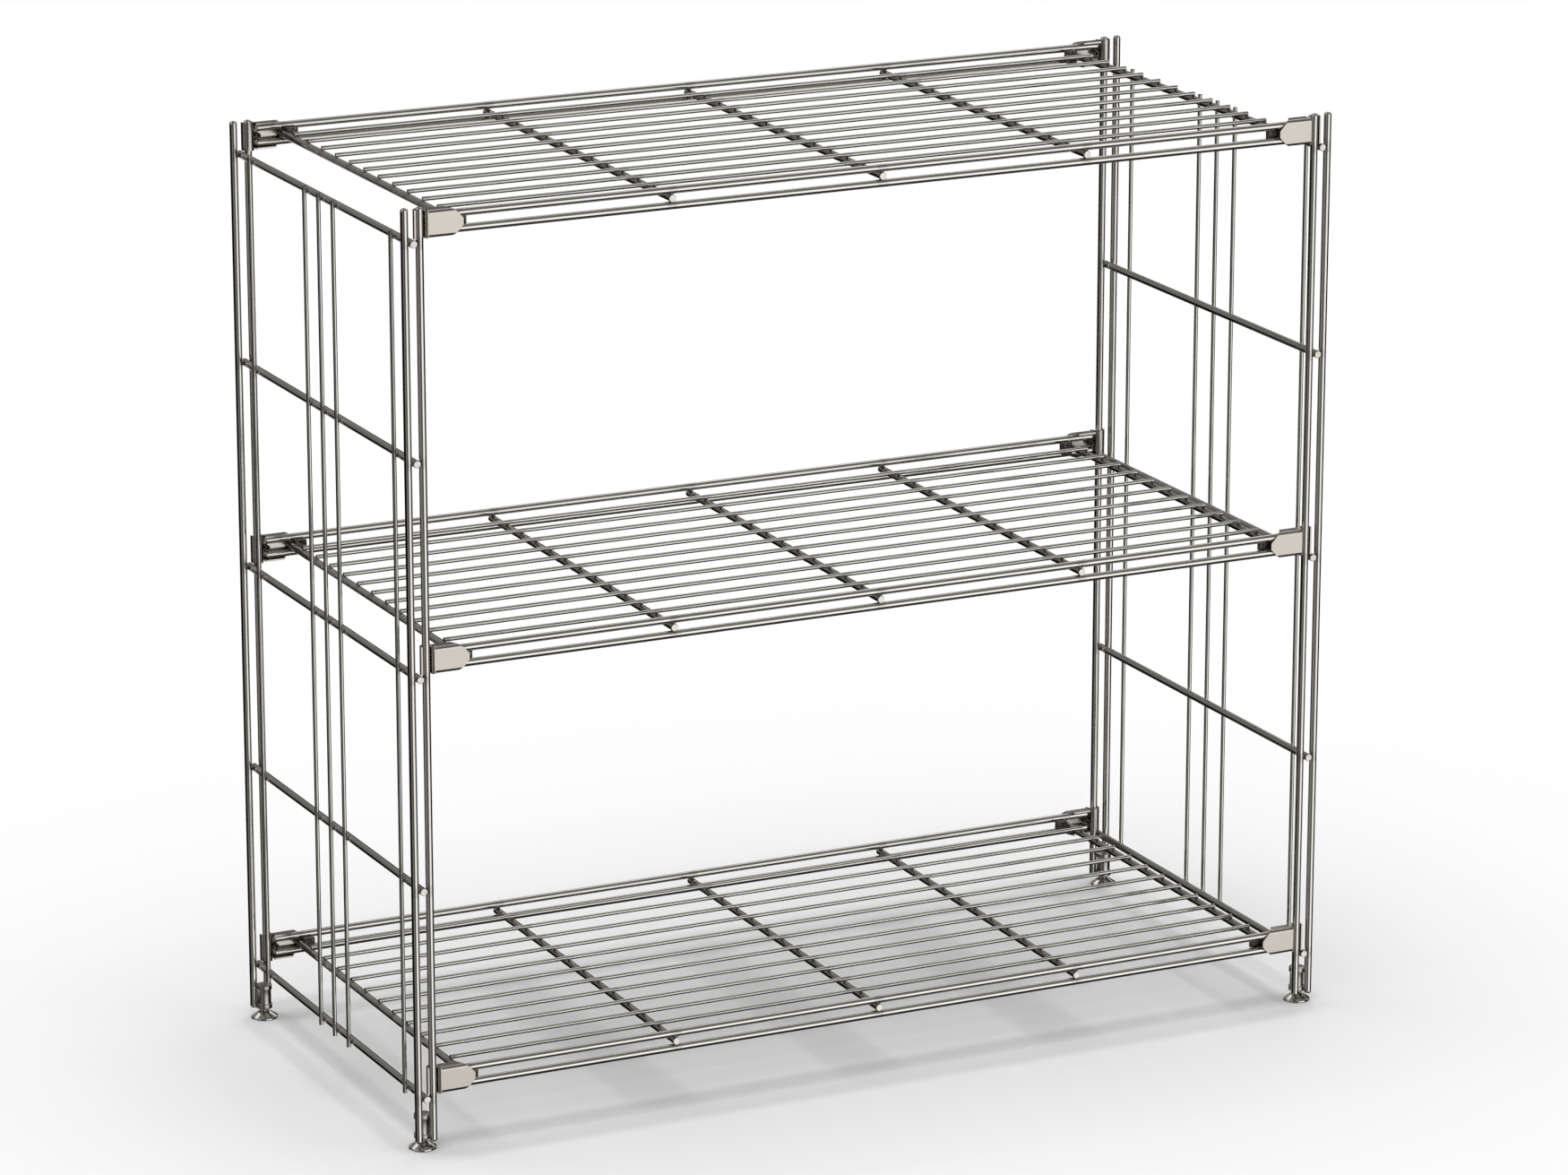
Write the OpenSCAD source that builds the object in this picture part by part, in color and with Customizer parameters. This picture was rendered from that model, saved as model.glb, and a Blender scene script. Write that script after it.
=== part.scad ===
// Free-standing wire cooling rack: two end frames of paired posts, three hook-on
// wire shelves and four screw-in levelling feet.
// X runs along the shelves, Y from front to back, Z up. The origin is on the floor
// under the middle of the rack.

/* [Overall] */
// Width over the outer faces of the outer posts
overall_w = 1050; // [700:1:1400]
// Distance between the axes of the front posts and the rear posts
post_span = 456; // [320:1:640]
// Height of the post tops above the floor
post_top_z = 980; // [700:1:1200]
// Height of the post bottoms above the floor
post_bottom_z = 9; // [8.5:0.5:10.5]

/* [End frames] */
// Diameter of the eight posts
post_d = 8; // [6:0.1:9]
// Radius of the rounded post ends
post_end_r = 2.4; // [0.5:0.1:2.8]
// Diameter of the crossbars that join the posts
bar_d = 7.8; // [6:0.1:9]
// Length of each crossbar end past the post faces
bar_overhang = 0.8; // [0.3:0.1:3]
// Chamfer at the ends of the crossbars and cross rods
bar_chamfer = 0.5; // [0.1:0.1:1]
// Height of the lowest crossbar's axis above the floor
first_bar_z = 56; // [52:1:64]
// Height of the post tops above the top crossbar's axis
post_top_margin = 36; // [34:1:60]
// Diameter of the side wires and of the shelf wires
wire_d = 4.5; // [3:0.1:5]
// Length of each side wire end past the outermost crossbar axes
side_wire_overhang = 5.5; // [4:0.5:12]
// Distance from the middle side wire to its two neighbours
side_wire_step = 38; // [20:1:70]
// Distance from the post axes to the outermost side wires
side_wire_inset = 39.6; // [20:0.1:60]

/* [Shelves] */
// Diameter of the paired front and rear rails
rail_d = 8; // [6:0.1:9]
// Distance of the rail axes outside the line of the post axes
rail_outset = 0.6; // [0.5:0.1:2]
// Distance from the inner post axis to the rail ends
rail_end_gap = 9.5; // [8.5:0.1:12]
// Diameter of the cross rods between the rails
rod_d = 7.8; // [6.8:0.1:9]
// Number of cross rods in a shelf
rod_count = 5; // [3:1:7]
// Distance from the inner post axis to the end cross rods
end_rod_inset = 37; // [34:0.5:45]
// Number of long wires in a shelf
shelf_wire_count = 11; // [7:1:13]
// Distance from the line of the post axes to the outermost shelf wires
shelf_wire_inset = 39; // [20:0.1:60]
// Length of each shelf wire end past the end cross rods' axes
shelf_wire_overhang = 1; // [0:0.5:3]
// Length of the weld blocks along the rails
block_l = 11; // [6:0.5:16]
// Depth of the weld blocks, front to back
block_depth = 7.8; // [5:0.1:12]
// Height of the weld blocks
block_h = 13.5; // [8:0.5:15.5]

/* [Corner brackets] */
// Thickness of the bracket sheet
sheet_t = 1.8; // [1.2:0.1:2]
// Gap between a post and the hook that wraps round it
hook_clearance = 0.6; // [0.4:0.1:1]
// Height of the hook
hook_h = 29.4; // [28:0.1:34]
// Length of the hook's free leg past the post axis
hook_leg = 3; // [1:0.1:5]
// Gap between a crossbar and the hook that rests on it
seat_gap = 0.3; // [0.3:0.05:0.6]
// Outer radius of the bend between the hook and the web
leg_bend_r = 2.7; // [2.2:0.1:3.2]
// Outer radius of the bends between the web and its flanges
flange_bend_r = 3.7; // [2.4:0.1:5]
// Depth of the flanges, from the web's outer face
flange_depth = 12.85; // [9:0.05:14]
// Distance from the inner post axis to the flange ends at their bends
flange_end = 33.1; // [28:0.1:38]
// Length by which the flange ends are cut back at their rear edge
flange_cut = 5.5; // [1:0.5:12]
// Length of the slanting corners that run through the bends to the web's flat part
corner_l = 5.1; // [1:0.1:8]
// Length of the web's tapered tongue past its corners
tongue_l = 6.3; // [3:0.1:12]
// Height of the tongue's blunt tip
tongue_tip_h = 6.6; // [3:0.1:12]
// Diameter of the tubular rivets
rivet_d = 6.2; // [4:0.1:6.6]
// Diameter of the hole in a rivet's end
rivet_hole_d = 3; // [1.5:0.1:3.6]
// Depth of the hole in a rivet's end
rivet_hole_depth = 4; // [1:0.5:6]
// Distance from the inner post axis to the rivet axis
rivet_inset = 10.6; // [10:0.1:14]
// Distance of the rivet's end inside the line of the post axes
rivet_end = 3.3; // [1:0.1:4.5]

/* [Feet] */
// Diameter of the rims at both ends of a foot sleeve
sleeve_rim_d = 17.4; // [16.4:0.1:20]
// Diameter of a foot sleeve between its rims
sleeve_d = 15; // [12:0.1:16]
// Height of each rim
sleeve_rim_h = 5; // [2:0.5:8]
// Height of a foot sleeve
sleeve_h = 26; // [20:0.5:30]
// Height of the sleeve's lower end above the floor
sleeve_bottom_z = 11; // [9:0.5:16]
// Diameter of the screw stud
stud_d = 8; // [6:0.1:9]
// Height of the stud's upper end above the floor
stud_top_z = 33; // [24:0.5:34]
// Diameter of the foot pad
pad_d = 29; // [20:0.5:32]
// Height of the pad's straight rim
pad_rim_h = 2; // [1:0.1:3]
// Height of the whole pad
pad_h = 8; // [5:0.5:8]
// Diameter of the pad's flat top
pad_top_d = 10; // [9.5:0.1:14]

/* [Hidden] */
// Number of crossbars in an end frame
bar_count = 5;
// Crossbars that carry the bottom, middle and top shelf, counted from the floor
shelf_levels = [0, 2, 4];
// Gap left where round bars touch at a weld
weld_gap = 0.05;
// Radial running clearance of the stud in its sleeve
stud_clearance = 0.05;
// Depth of sleeve left closed above the stud
sleeve_cap = 3;
// Segments of a rounded post end
end_steps = 4;
// Margin by which cutting shapes overshoot
cut = 1;

post_r = post_d / 2;
bar_r = bar_d / 2;
wire_r = wire_d / 2;
rail_r = rail_d / 2;
rod_r = rod_d / 2;
post_y = post_span / 2;
bar_x = overall_w / 2 - post_d - weld_gap - bar_r;
post_offset = bar_r + weld_gap + post_r;
inner_post_x = bar_x - post_offset;
bar_l = post_span + post_d + 2 * bar_overhang;
top_bar_z = post_top_z - post_top_margin;
bar_pitch = (top_bar_z - first_bar_z) / (bar_count - 1);
side_wire_x = bar_x + bar_r + weld_gap + wire_r;
side_wire_l = top_bar_z - first_bar_z + 2 * side_wire_overhang;
side_wire_y = post_y - side_wire_inset;

rail_pitch = rail_d + rod_d + 2 * weld_gap;
rail_y = post_y + rail_outset;
rail_l = 2 * (inner_post_x - rail_end_gap);
shelf_mid_z = bar_r + seat_gap + hook_h / 2;
end_rod_x = inner_post_x - end_rod_inset;
rod_pitch = 2 * end_rod_x / (rod_count - 1);
rod_l = 2 * (rail_y + rail_r);
shelf_wire_y = post_y - shelf_wire_inset;
shelf_wire_pitch = 2 * shelf_wire_y / (shelf_wire_count - 1);
shelf_wire_z = rod_r + weld_gap + wire_r;
shelf_wire_l = 2 * (end_rod_x + shelf_wire_overhang);

web_b = -rail_outset - rail_r - weld_gap - sheet_t;
hook_inner_r = post_r + hook_clearance;
hook_outer_r = hook_inner_r + sheet_t;
channel_h = rail_pitch + rail_d + 2 * (weld_gap + sheet_t);
web_start = hook_inner_r + leg_bend_r;
web_flat_h = channel_h - 2 * flange_bend_r;
flange_b = web_b + flange_depth;
web_end = flange_end + corner_l;
tongue_end = web_end + tongue_l;
block_a = end_rod_inset + rod_r + weld_gap;
block_b = -rail_outset + rail_r + weld_gap;
rivet_start = web_b + sheet_t + weld_gap;

foot_x = bar_x;
foot_reach = sleeve_rim_d / 2 + weld_gap + post_r;
foot_inset = sqrt(foot_reach * foot_reach - post_offset * post_offset);
foot_y = post_y - foot_inset;

left = -1;
right = 1;
front = -1;
rear = 1;
$fn = 48;

// Height of the axis of the crossbar that carries a shelf
function shelf_z(shelf) = first_bar_z + shelf_levels[shelf] * bar_pitch;

// A bar from z = 0 upwards, its ends rounded to radius e in the given number of steps
module round_bar(r, l, e, steps) {
  low = [for (i = [0 : steps]) [r - e + e * sin(i * 90 / steps), e - e * cos(i * 90 / steps)]];
  high = [for (i = [steps : -1 : 0]) [low[i][0], l - low[i][1]]];
  rotate_extrude()
    polygon(concat([[0, 0]], low, high, [[0, l]]));
}

// Turns a bar that stands on z = 0 to lie along X, centred
module along_x(l) {
  translate([-l / 2, 0, 0])
    rotate([0, 90, 0])
      children();
}

// Turns a bar that stands on z = 0 to lie along Y, centred
module along_y(l) {
  translate([0, l / 2, 0])
    rotate([90, 0, 0])
      children();
}

// One post, on the inner or the outer side of the crossbars
module post(side, face, outer) {
  color("silver")
    translate([side * (bar_x + outer * post_offset), face * post_y, post_bottom_z])
      round_bar(post_r, post_top_z - post_bottom_z, post_end_r, end_steps);
}

// The crossbars of one end frame, held between its inner and outer posts
module crossbars(side) {
  color("silver")
    for (i = [0 : bar_count - 1])
      translate([side * bar_x, 0, first_bar_z + i * bar_pitch])
        along_y(bar_l)
          round_bar(bar_r, bar_l, bar_chamfer, 1);
}

// The upright wires on the outer side of one end frame's crossbars
module side_wires(side) {
  color("silver")
    for (y = [-side_wire_y, -side_wire_step, 0, side_wire_step, side_wire_y])
      translate([side * side_wire_x, y, first_bar_z - side_wire_overhang])
        cylinder(r = wire_r, h = side_wire_l);
}

// The two threaded sleeves of one end frame, each welded between a pair of posts
module foot_sleeves(side) {
  bore_r = stud_d / 2 + stud_clearance;
  bore_top_z = sleeve_bottom_z + sleeve_h - sleeve_cap;
  color("gainsboro")
    for (face = [front, rear])
      translate([side * foot_x, face * foot_y, 0])
        difference() {
          union() {
            translate([0, 0, sleeve_bottom_z])
              cylinder(d = sleeve_d, h = sleeve_h);
            translate([0, 0, sleeve_bottom_z])
              cylinder(d = sleeve_rim_d, h = sleeve_rim_h);
            translate([0, 0, sleeve_bottom_z + sleeve_h - sleeve_rim_h])
              cylinder(d = sleeve_rim_d, h = sleeve_rim_h);
          }
          translate([0, 0, sleeve_bottom_z - cut])
            cylinder(r = bore_r, h = bore_top_z - sleeve_bottom_z + cut);
        }
}

// The screw stud of one levelling foot
module foot_stud(side, face) {
  color("gainsboro")
    translate([side * foot_x, face * foot_y, pad_h + weld_gap])
      cylinder(d = stud_d, h = stud_top_z - pad_h - weld_gap);
}

// The round pad of one levelling foot
module foot_pad(side, face) {
  color("gainsboro")
    translate([side * foot_x, face * foot_y, 0]) {
      cylinder(d = pad_d, h = pad_rim_h);
      translate([0, 0, pad_rim_h])
        cylinder(d1 = pad_d, d2 = pad_top_d, h = pad_h - pad_rim_h);
    }
}

// Places a shelf's mid height, where its cross rods lie
module at_shelf(shelf) {
  translate([0, 0, shelf_z(shelf) + shelf_mid_z])
    children();
}

// Places a shelf corner: the inner post's axis is the origin, x runs inboard along
// the rails and y towards the middle of the shelf
module at_corner(shelf, side, face) {
  at_shelf(shelf)
    translate([side * inner_post_x, face * post_y, 0])
      mirror([side == right ? 1 : 0, 0, 0])
        mirror([0, face == rear ? 1 : 0, 0])
          children();
}

// One rail: level is 1 for the upper rail of a pair and -1 for the lower one
module rail(shelf, face, level) {
  color("silver")
    at_shelf(shelf)
      translate([0, face * rail_y, level * rail_pitch / 2])
        along_x(rail_l)
          round_bar(rail_r, rail_l, bar_chamfer, 1);
}

// The cross rods of a shelf, welded between the upper and lower rails
module cross_rods(shelf) {
  color("silver")
    at_shelf(shelf)
      for (i = [0 : rod_count - 1])
        translate([i * rod_pitch - end_rod_x, 0, 0])
          along_y(rod_l)
            round_bar(rod_r, rod_l, bar_chamfer, 1);
}

// The long wires of a shelf, welded on top of its cross rods
module shelf_wires(shelf) {
  color("silver")
    at_shelf(shelf)
      for (i = [0 : shelf_wire_count - 1])
        translate([0, i * shelf_wire_pitch - shelf_wire_y, shelf_wire_z])
          along_x(shelf_wire_l)
            cylinder(r = wire_r, h = shelf_wire_l);
}

// The weld blocks that brace the end rods of a shelf against its rails
module weld_blocks(shelf) {
  color("dimgray")
    for (side = [left, right], face = [front, rear])
      at_corner(shelf, side, face)
        translate([block_a, block_b, -block_h / 2])
          cube([block_l, block_depth, block_h]);
}

// The tubular rivets behind the bracket webs of a shelf
module rivets(shelf) {
  color("gray")
    for (side = [left, right], face = [front, rear])
      at_corner(shelf, side, face)
        translate([rivet_inset, rivet_end, 0])
          rotate([90, 0, 0])
            difference() {
              cylinder(d = rivet_d, h = rivet_end - rivet_start);
              translate([0, 0, -cut])
                cylinder(d = rivet_hole_d, h = rivet_hole_depth + cut);
            }
}

// The part of a bracket that wraps round the post: a half ring and its free leg
module hook() {
  translate([0, 0, -hook_h / 2])
    linear_extrude(hook_h) {
      difference() {
        circle(hook_outer_r);
        circle(hook_inner_r);
        translate([-hook_outer_r - cut, -hook_outer_r - cut])
          square([2 * (hook_outer_r + cut), hook_outer_r + cut]);
      }
      translate([-hook_outer_r, -hook_leg])
        square([sheet_t, hook_leg]);
    }
}

// The leg between the hook and the web, with the bend that turns it inboard
module bracket_leg() {
  bend_b = web_b + leg_bend_r;
  translate([0, 0, -channel_h / 2])
    linear_extrude(channel_h) {
      translate([hook_inner_r, bend_b])
        square([sheet_t, -bend_b]);
      translate([web_start, bend_b])
        intersection() {
          difference() {
            circle(leg_bend_r);
            circle(leg_bend_r - sheet_t);
          }
          translate([-leg_bend_r - cut, -leg_bend_r - cut])
            square(leg_bend_r + cut);
        }
    }
}

// Outline of the web and flanges across the rails: x is the depth, y the height
module channel_section() {
  inner_r = flange_bend_r - sheet_t;
  inner_h = channel_h - 2 * sheet_t;
  difference() {
    translate([web_b, 0])
      rounded_channel(flange_depth, channel_h, flange_bend_r);
    translate([web_b + sheet_t, 0])
      rounded_channel(flange_depth, inner_h, inner_r);
  }
}

// A rectangle from x = 0, centred on y, whose two corners at x = 0 are round
module rounded_channel(depth, h, r) {
  translate([r, -h / 2])
    square([depth - r, h]);
  translate([0, r - h / 2])
    square([depth, h - 2 * r]);
  for (end = [-1, 1])
    translate([r, end * (h / 2 - r)])
      circle(r);
}

// Outline of the web seen from the front: x runs inboard, y up. Its corners slant
// through the bends and carry on as the tapered tongue
module web_outline() {
  polygon([
    [0, -channel_h / 2 - cut],
    [flange_end, -channel_h / 2 - cut],
    [flange_end, -channel_h / 2],
    [web_end, -web_flat_h / 2],
    [tongue_end, -tongue_tip_h / 2],
    [tongue_end, tongue_tip_h / 2],
    [web_end, web_flat_h / 2],
    [flange_end, channel_h / 2],
    [flange_end, channel_h / 2 + cut],
    [0, channel_h / 2 + cut]
  ]);
}

// Outline of the flanges seen from above: x runs inboard, y to the rear
module flange_outline() {
  polygon([
    [0, web_b - cut],
    [flange_end, web_b - cut],
    [flange_end, web_b + flange_bend_r],
    [flange_end - flange_cut, flange_b + cut],
    [0, flange_b + cut]
  ]);
}

// The web with its tongue, and the flanges over and under the rails
module bracket_channel() {
  intersection() {
    translate([web_start, 0, 0])
      rotate([90, 0, 90])
        linear_extrude(tongue_end - web_start)
          channel_section();
    union() {
      translate([0, web_b + flange_bend_r, 0])
        rotate([90, 0, 0])
          linear_extrude(flange_bend_r + cut)
            web_outline();
      translate([0, 0, -channel_h / 2 - cut])
        linear_extrude(channel_h + 2 * cut)
          flange_outline();
    }
  }
}

// One corner bracket, bent from a single sheet
module bracket(shelf, side, face) {
  color("lightgray")
    at_corner(shelf, side, face)
      union() {
        hook();
        bracket_leg();
        bracket_channel();
      }
}

post(left, front, 1);  // left_front_outer_post
post(left, front, -1);  // left_front_inner_post
post(left, rear, 1);  // left_rear_outer_post
post(left, rear, -1);  // left_rear_inner_post
post(right, front, 1);  // right_front_outer_post
post(right, front, -1);  // right_front_inner_post
post(right, rear, 1);  // right_rear_outer_post
post(right, rear, -1);  // right_rear_inner_post
crossbars(left);  // left_crossbars
crossbars(right);  // right_crossbars
side_wires(left);  // left_side_wires
side_wires(right);  // right_side_wires
foot_sleeves(left);  // left_foot_sleeves
foot_sleeves(right);  // right_foot_sleeves
foot_stud(left, front);  // front_left_foot_stud
foot_pad(left, front);  // front_left_foot_pad
foot_stud(right, front);  // front_right_foot_stud
foot_pad(right, front);  // front_right_foot_pad
foot_stud(left, rear);  // rear_left_foot_stud
foot_pad(left, rear);  // rear_left_foot_pad
foot_stud(right, rear);  // rear_right_foot_stud
foot_pad(right, rear);  // rear_right_foot_pad
rail(0, front, -1);  // bottom_shelf_front_lower_rail
rail(0, front, 1);  // bottom_shelf_front_upper_rail
rail(0, rear, -1);  // bottom_shelf_rear_lower_rail
rail(0, rear, 1);  // bottom_shelf_rear_upper_rail
cross_rods(0);  // bottom_shelf_cross_rods
shelf_wires(0);  // bottom_shelf_wires
weld_blocks(0);  // bottom_shelf_weld_blocks
rivets(0);  // bottom_shelf_rivets
bracket(0, left, front);  // bottom_shelf_front_left_bracket
bracket(0, right, front);  // bottom_shelf_front_right_bracket
bracket(0, left, rear);  // bottom_shelf_rear_left_bracket
bracket(0, right, rear);  // bottom_shelf_rear_right_bracket
rail(1, front, -1);  // middle_shelf_front_lower_rail
rail(1, front, 1);  // middle_shelf_front_upper_rail
rail(1, rear, -1);  // middle_shelf_rear_lower_rail
rail(1, rear, 1);  // middle_shelf_rear_upper_rail
cross_rods(1);  // middle_shelf_cross_rods
shelf_wires(1);  // middle_shelf_wires
weld_blocks(1);  // middle_shelf_weld_blocks
rivets(1);  // middle_shelf_rivets
bracket(1, left, front);  // middle_shelf_front_left_bracket
bracket(1, right, front);  // middle_shelf_front_right_bracket
bracket(1, left, rear);  // middle_shelf_rear_left_bracket
bracket(1, right, rear);  // middle_shelf_rear_right_bracket
rail(2, front, -1);  // top_shelf_front_lower_rail
rail(2, front, 1);  // top_shelf_front_upper_rail
rail(2, rear, -1);  // top_shelf_rear_lower_rail
rail(2, rear, 1);  // top_shelf_rear_upper_rail
cross_rods(2);  // top_shelf_cross_rods
shelf_wires(2);  // top_shelf_wires
weld_blocks(2);  // top_shelf_weld_blocks
rivets(2);  // top_shelf_rivets
bracket(2, left, front);  // top_shelf_front_left_bracket
bracket(2, right, front);  // top_shelf_front_right_bracket
bracket(2, left, rear);  // top_shelf_rear_left_bracket
bracket(2, right, rear);  // top_shelf_rear_right_bracket
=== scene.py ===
"""Looks of a free-standing wire cooling rack: steels, welds, turned feet, studio and camera."""

import math

import bpy
import numpy as np
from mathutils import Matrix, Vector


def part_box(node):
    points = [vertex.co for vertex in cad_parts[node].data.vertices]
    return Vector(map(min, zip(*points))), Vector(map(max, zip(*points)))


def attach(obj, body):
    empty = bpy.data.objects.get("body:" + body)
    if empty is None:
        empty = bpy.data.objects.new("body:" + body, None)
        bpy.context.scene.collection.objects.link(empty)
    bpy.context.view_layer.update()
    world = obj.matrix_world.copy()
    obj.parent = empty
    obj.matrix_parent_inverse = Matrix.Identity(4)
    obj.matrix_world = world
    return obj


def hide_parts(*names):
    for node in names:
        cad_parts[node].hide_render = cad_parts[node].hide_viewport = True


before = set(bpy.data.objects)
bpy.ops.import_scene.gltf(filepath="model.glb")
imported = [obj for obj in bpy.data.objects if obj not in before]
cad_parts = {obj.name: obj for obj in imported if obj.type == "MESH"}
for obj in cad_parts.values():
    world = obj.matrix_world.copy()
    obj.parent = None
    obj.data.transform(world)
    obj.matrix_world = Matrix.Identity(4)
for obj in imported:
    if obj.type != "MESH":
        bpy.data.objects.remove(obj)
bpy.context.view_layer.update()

bl_info = {
    "name": "Cooling Rack",
    "version": (1, 0, 0),
    "blender": (4, 5, 0),
    "location": "View3D > Sidebar > Rack",
    "description": "Dresses a wire cooling rack in polished stainless steel",
    "category": "Object",
}

SHELVES = ("bottom", "middle", "top")
SIDES = ("left", "right")
FACES = ("front", "rear")
POSTS = ("outer", "inner")
RAILS = ("lower", "upper")
BAR_COUNT = 5
ROD_COUNT = 5
SHELF_WIRE_COUNT = 11
MM = 0.001
X, Y, Z = range(3)


# ---------------------------------------------------------------- settings


class RackSizes(bpy.types.PropertyGroup):
    """Small sizes that the finished pieces add to the frame."""

    side_wire_step: bpy.props.FloatProperty(
        name="Side wire step", description="Distance from the middle side wire to its two neighbours",
        default=38 * MM, unit="LENGTH")
    wire_weld: bpy.props.FloatProperty(
        name="Wire weld radius", description="Reach of a weld between a wire and a rod",
        default=1.75 * MM, unit="LENGTH")
    rod_weld: bpy.props.FloatProperty(
        name="Rod weld radius", description="Reach of a weld between two thick rods",
        default=2.7 * MM, unit="LENGTH")
    thread_pitch: bpy.props.FloatProperty(
        name="Thread pitch", description="Pitch of the screw thread on the feet",
        default=1.25 * MM, unit="LENGTH")
    thread_depth: bpy.props.FloatProperty(
        name="Thread depth", description="Depth of the screw thread on the feet",
        default=0.65 * MM, unit="LENGTH")
    rivet_length: bpy.props.FloatProperty(
        name="Rivet length", description="Length of the rolled rivets behind the bracket webs",
        default=7.9 * MM, unit="LENGTH")
    rivet_hole: bpy.props.FloatProperty(
        name="Rivet hole radius", description="Radius of the hole in a rivet's end",
        default=1.5 * MM, unit="LENGTH")
    rivet_hole_depth: bpy.props.FloatProperty(
        name="Rivet hole depth", description="Depth of the hole in a rivet's end",
        default=4 * MM, unit="LENGTH")
    weld_mass: bpy.props.FloatVectorProperty(
        name="Weld mass", description="Size of the weld masses at the shelf corners", size=3,
        default=(11 * MM, 7.8 * MM, 13.5 * MM), unit="LENGTH", subtype="TRANSLATION")
    weld_overlap: bpy.props.FloatProperty(
        name="Weld overlap", description="How far a weld mass runs on to the rod beside it",
        default=1.5 * MM, unit="LENGTH")
    sleeve_rim: bpy.props.FloatProperty(
        name="Sleeve rim", description="Height of the rim at each end of a foot sleeve",
        default=5 * MM, unit="LENGTH")
    sleeve_waist: bpy.props.FloatProperty(
        name="Sleeve waist", description="How far a foot sleeve's side lies inside its rims",
        default=1.2 * MM, unit="LENGTH")
    sleeve_bore: bpy.props.FloatProperty(
        name="Sleeve bore", description="Radius of the hole that takes the stud",
        default=4.05 * MM, unit="LENGTH")
    sleeve_roof: bpy.props.FloatProperty(
        name="Sleeve roof", description="Thickness of the steel above a foot sleeve's bore",
        default=3 * MM, unit="LENGTH")
    pad_edge: bpy.props.FloatProperty(
        name="Pad edge", description="Height of a foot pad's upright edge",
        default=2 * MM, unit="LENGTH")
    pad_hub: bpy.props.FloatProperty(
        name="Pad hub", description="Radius of a foot pad's flat top",
        default=5 * MM, unit="LENGTH")
    edge_round: bpy.props.FloatProperty(
        name="Edge round", description="Rounding of the turned and pressed edges",
        default=0.35 * MM, unit="LENGTH")


class SteelLook(bpy.types.PropertyGroup):
    """Colours and roughness of the steels."""

    bar_colour: bpy.props.FloatVectorProperty(
        name="Bar", description="Polished bar and wire", subtype="COLOR", size=3,
        default=(0.641, 0.626, 0.594), min=0, max=1)
    sheet_colour: bpy.props.FloatVectorProperty(
        name="Sheet", description="Satin sheet of the corner brackets", subtype="COLOR", size=3,
        default=(0.507, 0.478, 0.440), min=0, max=1)
    tint_colour: bpy.props.FloatVectorProperty(
        name="Heat tint", description="Straw and brown tint beside a weld", subtype="COLOR", size=3,
        default=(0.300, 0.284, 0.258), min=0, max=1)
    weld_colour: bpy.props.FloatVectorProperty(
        name="Weld", description="Dull steel of a weld", subtype="COLOR", size=3,
        default=(0.340, 0.326, 0.300), min=0, max=1)
    bar_roughness: bpy.props.FloatProperty(
        name="Bar roughness", description="Roughness of the polished bar", default=0.085,
        min=0, max=1, subtype="FACTOR")
    sheet_roughness: bpy.props.FloatProperty(
        name="Sheet roughness", description="Roughness of the satin sheet", default=0.22,
        min=0, max=1, subtype="FACTOR")


class StudioLook(bpy.types.PropertyGroup):
    """Floor, light and camera."""

    floor_colour: bpy.props.FloatVectorProperty(
        name="Floor", description="Pale paper floor", subtype="COLOR", size=3,
        default=(0.985, 0.985, 0.985), min=0, max=1)
    floor_size: bpy.props.FloatProperty(
        name="Floor size", description="Side of the square floor", default=60, unit="LENGTH")
    # The floor's shade under and round the rack is painted into its colour. These three settings shape
    # that painted shadow.
    painted_floor_shade: bpy.props.FloatProperty(
        name="Floor shade", description="How much darker the floor is under the rack", default=0.255,
        min=0, max=1, subtype="FACTOR")
    painted_shade_reach: bpy.props.FloatProperty(
        name="Shade reach", description="Distance in which the floor's shade fades by two thirds",
        default=0.42, unit="LENGTH")
    painted_shade_core: bpy.props.FloatVectorProperty(
        name="Shade core", description="Half width and half depth of the floor's darkest part", size=2,
        default=(0.209, 0.025), unit="LENGTH", subtype="XYZ")
    dome_light: bpy.props.FloatProperty(
        name="Dome light", description="Strength of the even light all round", default=0.08, min=0)
    box_light: bpy.props.FloatProperty(
        name="Soft box", description="Light that the soft box throws on the floor", default=0.95, min=0)
    box_height: bpy.props.FloatProperty(
        name="Soft box height", description="Height of the soft box over the floor", default=50,
        unit="LENGTH")
    box_angle: bpy.props.FloatProperty(
        name="Soft box angle", description="Half angle that the soft box spans, seen from the rack",
        default=math.radians(26), subtype="ANGLE")
    shell_radius: bpy.props.FloatProperty(
        name="Shell radius", description="Radius of the shell whose panels the steel reflects",
        default=20, unit="LENGTH")
    lens: bpy.props.FloatProperty(
        name="Lens", description="Focal length on a 36 mm wide sensor", default=149.893,
        unit="CAMERA", subtype="DISTANCE_CAMERA")
    camera_place: bpy.props.FloatVectorProperty(
        name="Camera place", description="Place of the camera", size=3, subtype="TRANSLATION",
        unit="LENGTH", default=(-2.9095, -5.9789, 2.3788))
    camera_pitch: bpy.props.FloatProperty(
        name="Camera pitch", description="Tilt below the horizon", subtype="ANGLE",
        default=math.radians(16.003))
    camera_yaw: bpy.props.FloatProperty(
        name="Camera yaw", description="Turn from straight ahead to the right", subtype="ANGLE",
        default=math.radians(25.9646))


# ---------------------------------------------------------------- shader maths


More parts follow.
